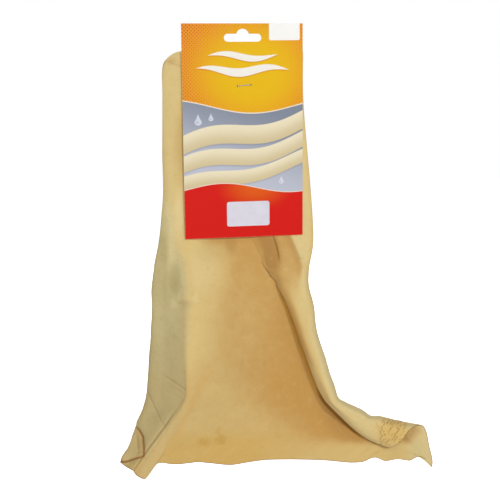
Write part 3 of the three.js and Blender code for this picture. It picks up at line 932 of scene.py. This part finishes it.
def short_strokes(place, angle):
    """1 on short straight strokes scattered over coordinates, at so many degrees."""
    turn_by = {"Vector": place, "Angle": math.radians(angle)}
    cells = place.add("VectorRotate", {"rotation_type": "Z_AXIS"}, turn_by).stretched(*STROKES)
    middle = cells.add(
        "TexVoronoi", {"voronoi_dimensions": "2D"}, {"Vector": cells, "Scale": 1}, "Position")
    away = cells.add("VectorMath", {"operation": "SUBTRACT"}, {0: cells, 1: middle})
    along, across = abs(away.part("X")), abs(away.part("Y"))
    return (1 - across.rise(0.03, 0.17)) * (1 - along.rise(0.3, 0.5))


def chamois_finish():
    """Suede made by oil tanning: pale cream to ochre, softly mottled, napped, with brown cut edges, and
    painted light and shade.
    """
    material, surface, start = new_material(
        "chamois", Specular_IOR_Level=0.1,
        Sheen_Weight=0.3, Sheen_Roughness=0.4, Sheen_Tint=srgb(240, 246, 226))
    place = start.add("Attribute", {"attribute_name": "flat_place"}, output="Vector")
    marks = ("tone", "grey", "golden", "stain", "painted_warm_light", "deep", "pale", "cut", "creased", "rough")
    tone, grey, golden, stain, painted_warm_light, deep, pale, cut, creased, rough = [
        start.add("Attribute", {"attribute_name": name}, output="Fac") for name in marks]
    broad = place.grain(14, 3)
    patches = place.grain(90, 4, 0.6)
    creping = place.grain(260, 3, 0.55)
    specks = place.grain(900)
    nap = place.grain(1500, 3, 0.6)
    fibres = place.stretched(260, 1100, 1).grain(1, 3, 0.6)
    tone = tone + (broad - 0.5) * 0.35 + (patches - 0.5) * 0.28
    shade = (patches - 0.5) * 0.35 + (creping - 0.5) * 0.4 + (specks - 0.5) * 0.3 + (fibres - 0.5) * 0.45
    rubbed = 0.5 + grey.rise(0, 1) * 0.35
    strokes = [
        short_strokes(place, angle) * place.grain(GAP_GRAIN + angle).rise(gaps, gaps + 0.1)
        for angle, gaps in WRINKLES]
    wrinkle = reduce(Tint.most, strokes) * rough.rise(0.25, 0.9)
    colour = painted(tone.rise(-0.1, 1.05).over((214, 187, 125), (192, 146, 79)), [
        # The dull grey of the tent's side, deeper where the grey adds up in its hollows: partly painted
        # shade
        (grey.rise(0, 1) * 0.85, (208, 194, 144)),
        (grey.rise(0.9, 1.5), (184, 168, 118)),
        (golden * 0.4, (198, 154, 66)),
        (stain * (0.4 + (creping - 0.5) * 0.7), (186, 140, 52)),
        # Painted highlight, and the paler side that the turned corner shows
        (pale, (221, 200, 145)),
        # Painted shade
        (deep, (175, 132, 74)),
        (shade.rise(0.02, 0.35) * rubbed, (170, 132, 74)),
        ((0 - shade).rise(0.02, 0.35) * rubbed * 0.7, (226, 204, 150)),
        # Painted warm light thrown back within the folds
        (painted_warm_light * 0.75, (212, 152, 58)),
        (rough * 0.7, (216, 178, 100)),
        (wrinkle * 0.65, (150, 106, 40)),
        # Painted shade in the creases, and the painted contact shadow
        (creased.rise(0.25, 1) * 0.8, (126, 84, 36)),
        (cut.rise(0.35, 1), (150, 98, 44)),
    ])
    heights = nap * 0.00012 + creping * 0.0003 - wrinkle * 0.0005
    dress(surface, colour, 0.97 - specks * 0.12, heights, 0.6)
    return material


def leather():
    """The one skin, from its upper edge behind the card to its hem."""
    skin, flat, creased, rough = chamois_skin()
    marks = {"flat_place": flat, "rough": rough, **tones(skin)}
    # The painted contact shadow is laid in with the creases' painted shade
    marks["creased"] = np.maximum(creased, marks.pop("contact_shadow"))
    across, down = np.moveaxis(pixels_of(skin), -1, 0)
    row, column = np.ogrid[:skin.shape[0], :skin.shape[1]]
    ear = rise(row, *ear_rows) * (column < column_of["left_bend"])
    marks["grey"] *= 1 - ear
    marks["tone"] = marks["tone"] * (1 - ear) + EAR_TONE * ear
    marks["pale"] = np.maximum(marks["pale"], EAR_PALE * ear)
    marks["golden"] = np.maximum(marks["golden"], ear * rise(across, *SIDES["ear_golden"]))
    from_left, from_right, from_top, from_hem = [
        abs(running(skin, axis, start)) for axis, start in ((1, 0), (1, -1), (0, 0), (0, -1))]
    from_cut = np.min([from_left, from_right, from_hem], 0)
    thin_edge = (1 - rise(down, *LEVELS["thin_edge"])) * (column > column_of["right_front"])
    marks["cut"] = np.exp(-from_cut / ((CUT_BROWN + EAR_BROWN * ear) * MM)) * (1 - thin_edge)
    share = EDGE_SHARE * (1 - FLAP_THINNING * thin_edge)
    share = share + (1 - share) * rise(np.minimum(from_cut, from_top), 0, EDGE_REACH * MM)
    piece = thick_mesh("chamois_leather", skin, share, marks)
    piece.data.materials.append(chamois_finish())
    return piece


def card_print():
    """A plain design of ribbons, waves and drops on coated board, with a bare pale patch at the top."""
    material, surface, start = new_material("printed_card", Specular_IOR_Level=0.12)
    place = start.add("TexCoord", output="Object")
    across = place.part("X") / MM
    below = (card_high.z - place.part("Z")) / MM
    depth = place.part("Y") / MM

    def below_wave(height, shift, swing, turns):
        return below - (height + across.maths("SINE", across * turns + shift) * swing)

    def from_point(x, down, wide, tall):
        return (((across - x) / wide) ** 2 + ((below - down) / tall) ** 2) ** 0.5

    def inside(distance, soft=0.2):
        return 1 - distance.rise(-soft, soft)

    # Amber top, with a screen of dots that grow towards its corners, and pale ribbons with their shade
    away = from_point(*AMBER_GLOW)
    cells = [across.maths("FRACT", way / DOT_PITCH + 100) - 0.5 for way in (across + below, across - below)]
    dot = (cells[0] ** 2 + cells[1] ** 2) ** 0.5
    amber = away.rise(0.3, 1.05).over((224, 178, 6), (223, 147, 26))
    top = inside(dot - (away - 0.45) * 0.5, 0.08).over(amber, (206, 92, 44))
    for height, half, reach, shift in TITLE_RIBBONS:
        gap = below_wave(height, shift, *RIBBON_SWING)
        half_width = (1 - (across / reach) ** 2) * half
        top = painted(top, [
            (inside(abs(gap - 0.9) - half_width, 0.7) * 0.5, (190, 92, 24)),
            (inside(abs(gap) - half_width), (234, 230, 220)),
        ])

    # Blue-grey middle, with broad cream waves, their shade and drops
    middle = (below - across * 0.3).rise(60, 140).over((124, 131, 146), (184, 187, 200))
    for height, half, swing, shift in CREAM_WAVES:
        gap = below_wave(height, shift, swing, WAVE_TURNS) + across * WAVE_SLOPE
        cream = (gap / half).rise(-1.0, 1.0).over((228, 217, 186), (205, 188, 146))
        middle = painted(middle, [
            (inside(abs(gap - 0.8) - half, 1.2) * 0.45, (110, 112, 120)),
            (inside(abs(gap) - half), cream),
        ])
    for x, down, size in DROPS:
        up = (down - below) / size
        taper = up.rise(-0.2, 2.2) * 2.2 + 1
        drop = ((((across - x) * taper) / size) ** 2 + (up / (up.rise(0, 0.5) * 0.9 + 1)) ** 2) ** 0.5
        shine = from_point(x - 0.25 * size, down + 0.2 * size, size, size) - 0.35
        middle = painted(middle, [
            (inside(drop - 1, 0.06) * 0.8, (212, 216, 226)),
            (inside(shine, 0.12) * 0.5, (150, 160, 180)),
        ])
    into_middle = below_wave(*MIDDLE_EDGE)

    # Red foot, with an orange glow
    red = from_point(*FOOT_GLOW).rise(0.1, 1.1).over((216, 86, 12), (206, 19, 8))
    into_foot = below_wave(*FOOT_EDGE)

    # Bare pale patch with round lower corners
    patch_x = abs(across - PATCH_MIDDLE) - PATCH_HALF + PATCH_CORNER
    patch_y = below - PATCH_DROP + PATCH_CORNER
    patch = (patch_x.most(0.0) ** 2 + patch_y.most(0.0) ** 2) ** 0.5 - PATCH_CORNER

    # Scuffed edges, white board in the cut and grey board behind
    fibres = place.grain(1400, 3)
    scuffs = (1 - from_rim(place, card_low, card_high).rise(0.1, 0.7)) * fibres.rise(0.35, 0.65)
    near, far = BOARD_START
    in_cut = (depth - card_low.y / MM).rise(near, far)
    behind = (depth - card_high.y / MM).rise(-far, -near)
    board = fibres.rise(0.3, 0.7).over((206, 198, 184), (184, 176, 162))
    colour = painted(top, [
        (into_middle.rise(-FIELD_SOFT, FIELD_SOFT), middle),
        (inside(abs(into_middle) - MIDDLE_LINE), (230, 222, 200)),
        (into_foot.rise(-FIELD_SOFT, FIELD_SOFT), red),
        (inside(abs(into_foot) - FOOT_LINE), (226, 210, 196)),
        (inside(patch), (240, 238, 233)),
        (scuffs * 0.15, (238, 230, 216)),
        ((fibres - 0.5).rise(0.0, 0.5) * 0.06, (60, 40, 30)),
        (in_cut, (228, 222, 210)),
        (behind, board),
    ])
    dress(surface, colour, 0.45 + fibres * 0.1 + behind * 0.35, fibres * 0.00003, 0.3)
    return material


def label_paper():
    """Bare white adhesive paper, a little grey along its cut edge."""
    material, surface, start = new_material("label_paper", Specular_IOR_Level=0.25)
    place = start.add("TexCoord", output="Object")
    fibres = place.grain(2200, 3, 0.6)
    from_edge = from_rim(place, label_low, label_high)
    colour = painted(place.grain(120).rise(0.3, 0.7).over((214, 211, 221), (209, 205, 216)), [
        ((fibres - 0.5).rise(0.0, 0.3) * 0.12, (176, 170, 172)),
        ((1 - from_edge.rise(0.0, 0.6)) * 0.35, (196, 180, 176)),
    ])
    dress(surface, colour, 0.55 + fibres * 0.2, fibres * 0.00002, 0.4)
    return material


def staple_steel():
    """Galvanised wire, drawn lengthwise."""
    material, surface, start = new_material("staple_wire", Metallic=1.0)
    streaks = start.add("TexCoord", output="Object").stretched(300, 3000, 3000).grain(1)
    colour = streaks.rise(0.3, 0.7).over((140, 136, 122), (104, 98, 84))
    dress(surface, colour, 0.28 + streaks * 0.15)
    return material


def lay_wire(path, sizes, material):
    """A plain mesh of flat wire with round edges along the lines of another, made by Geometry Nodes."""
    tree = bpy.data.node_groups.new("staple_wire", "GeometryNodeTree")
    for way in ("INPUT", "OUTPUT"):
        tree.interface.new_socket("Geometry", in_out=way, socket_type="NodeSocketGeometry")
    inputs = {}
    for size, value in sizes.items():
        socket = tree.interface.new_socket(size, in_out="INPUT", socket_type="NodeSocketFloat")
        inputs[socket.identifier] = value * MM
    start = tree.nodes.new("NodeGroupInput").outputs

    def add(kind, values, settings=None):
        return new_node(tree, "GeometryNode" + kind, settings, values).outputs[0]

    def rounded(curve, radius, count):
        return add("FilletCurve", {"Curve": curve, "Count": count, "Radius": radius}, {"mode": "POLY"})

    bent = rounded(add("MeshToCurve", {"Mesh": start["Geometry"]}), start["Bend"], 8)
    upright = add("SetCurveNormal", {"Curve": bent}, {"mode": "Z_UP"})
    flat = {"Width": start["Thickness"], "Height": start["Height"]}
    section = rounded(add("CurvePrimitiveQuadrilateral", flat, {"mode": "RECTANGLE"}), start["Edge"], 4)
    wire = add("CurveToMesh", {"Curve": upright, "Profile Curve": section, "Fill Caps": True})
    real = add("RealizeInstances", {"Geometry": wire})
    dressed = add("SetMaterial", {"Geometry": real, "Material": material})
    new_node(tree, "NodeGroupOutput", None, {"Geometry": dressed})

    maker = placed("staple_maker", path)
    modifier = maker.modifiers.new("wire", "NODES")
    modifier.node_group = tree
    for identifier, value in inputs.items():
        modifier[identifier] = value
    evaluated = maker.evaluated_get(bpy.context.evaluated_depsgraph_get())
    mesh = bpy.data.meshes.new_from_object(evaluated)
    maker.modifiers.remove(modifier)
    bpy.data.objects.remove(maker)
    return mesh


def wire_staple():
    """The staple's wire along its path: crown, legs and the ends bent in behind the leather."""
    tilt = Matrix.Rotation(math.radians(-STAPLE_TILT), 4, "Y")
    middle = (staple_low + staple_high) / 2
    half = (STAPLE_WIDTH - WIRE_THICKNESS) / 2 * MM
    tip = half - (STAPLE_CLINCH - WIRE_THICKNESS / 2) * MM
    front = staple_low.y + WIRE_THICKNESS / 2 * MM
    back = staple_high.y - WIRE_THICKNESS / 2 * MM
    route = [(-tip, back), (-half, back), (-half, front), (half, front), (half, back), (tip, back)]
    path = bpy.data.meshes.new("staple_path")
    points = [tilt @ Vector((x, y - middle.y, 0)) + middle for x, y in route]
    path.from_pydata(points, [(i, i + 1) for i in range(len(points) - 1)], [])
    sizes = {"Height": WIRE_HEIGHT, "Thickness": WIRE_THICKNESS, "Bend": WIRE_BEND, "Edge": WIRE_EDGE}
    mesh = lay_wire(path, sizes, staple_steel())
    mesh.shade_smooth()
    return placed("staple_wire", mesh)


def add_light(name, azimuth, elevation, distance, size, power):
    """A square soft lamp that faces a place halfway down the object, straight below the slot."""
    middle = Vector((0, 0, (cad_box[0].z + cad_box[1].z) / 2))
    a, e = math.radians(azimuth), math.radians(elevation)
    away = Vector((math.sin(a) * math.cos(e), -math.cos(a) * math.cos(e), math.sin(e)))
    lamp = bpy.data.lights.new(name, "AREA")
    lamp.size = size
    lamp.energy = power
    holder = placed(name, lamp)
    holder.location = middle + away * distance
    holder.rotation_euler = away.to_track_quat("Z", "Y").to_euler()


def shown_directly(start):
    """1 where the camera sees a thing directly, in a mirror or through glass."""
    seen_by, mirrored, through_glass = [
        start.add("LightPath", output=f"Is {kind} Ray") for kind in ("Camera", "Glossy", "Transmission")]
    return seen_by.most(mirrored).most(through_glass)


def white_surround():
    """A white room: even light on the object, and plain white behind it."""
    world = bpy.data.worlds.new("white_room")
    world.use_nodes = True
    tree = world.node_tree
    tree.nodes.clear()
    start = Tint(tree)
    strength = shown_directly(start) * (1 - ROOM_LIGHT) + ROOM_LIGHT
    glow = start.add("Background", None, {"Color": (1, 1, 1, 1), "Strength": strength})
    new_node(tree, "ShaderNodeOutputWorld", None, {"Surface": glow.socket})
    bpy.context.scene.world = world


def floor():
    """A plain white floor, well below the object."""
    mesh = bpy.data.meshes.new("floor")
    height = cad_box[0].z - FLOOR_DROP
    corners = [(x * FLOOR_HALF, y * FLOOR_HALF, height) for x, y in ((-1, -1), (1, -1), (1, 1), (-1, 1))]
    mesh.from_pydata(corners, [], [(0, 1, 2, 3)])
    piece = placed("floor", mesh)
    material, surface, start = new_material(
        "white_floor", Roughness=0.9, Base_Color=(0.8, 0.8, 0.8, 1), Emission_Strength=1)
    link((shown_directly(start) * 0.9).over((0, 0, 0), (255, 255, 255)), surface, "Emission Color")
    mesh.materials.append(material)


def camera():
    """The photograph's camera."""
    eye = bpy.data.cameras.new("photograph")
    eye.sensor_width = 36
    eye.lens = eye.sensor_width / 2 / math.tan(FIELD_OF_VIEW / 2)
    holder = placed("photograph", eye)
    axes = Matrix((camera_right, -camera_down, -camera_forward)).transposed()
    holder.matrix_world = Matrix.Translation(Vector(CAMERA_PLACE)) @ axes.to_4x4()
    bpy.context.scene.camera = holder


camera()
white_surround()
for lamp, setting in LAMPS.items():
    add_light(lamp, *setting)
floor()

skin_piece = leather()
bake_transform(skin_piece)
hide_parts("skin_gather", "skin_drape")

staple_piece = wire_staple()
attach(staple_piece, "card")
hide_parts("staple")

frame["nodes"]["header_card"].material_slots[0].material = card_print()
frame["nodes"]["size_label"].material_slots[0].material = label_paper()

bpy.context.scene.view_settings.view_transform = "Standard"
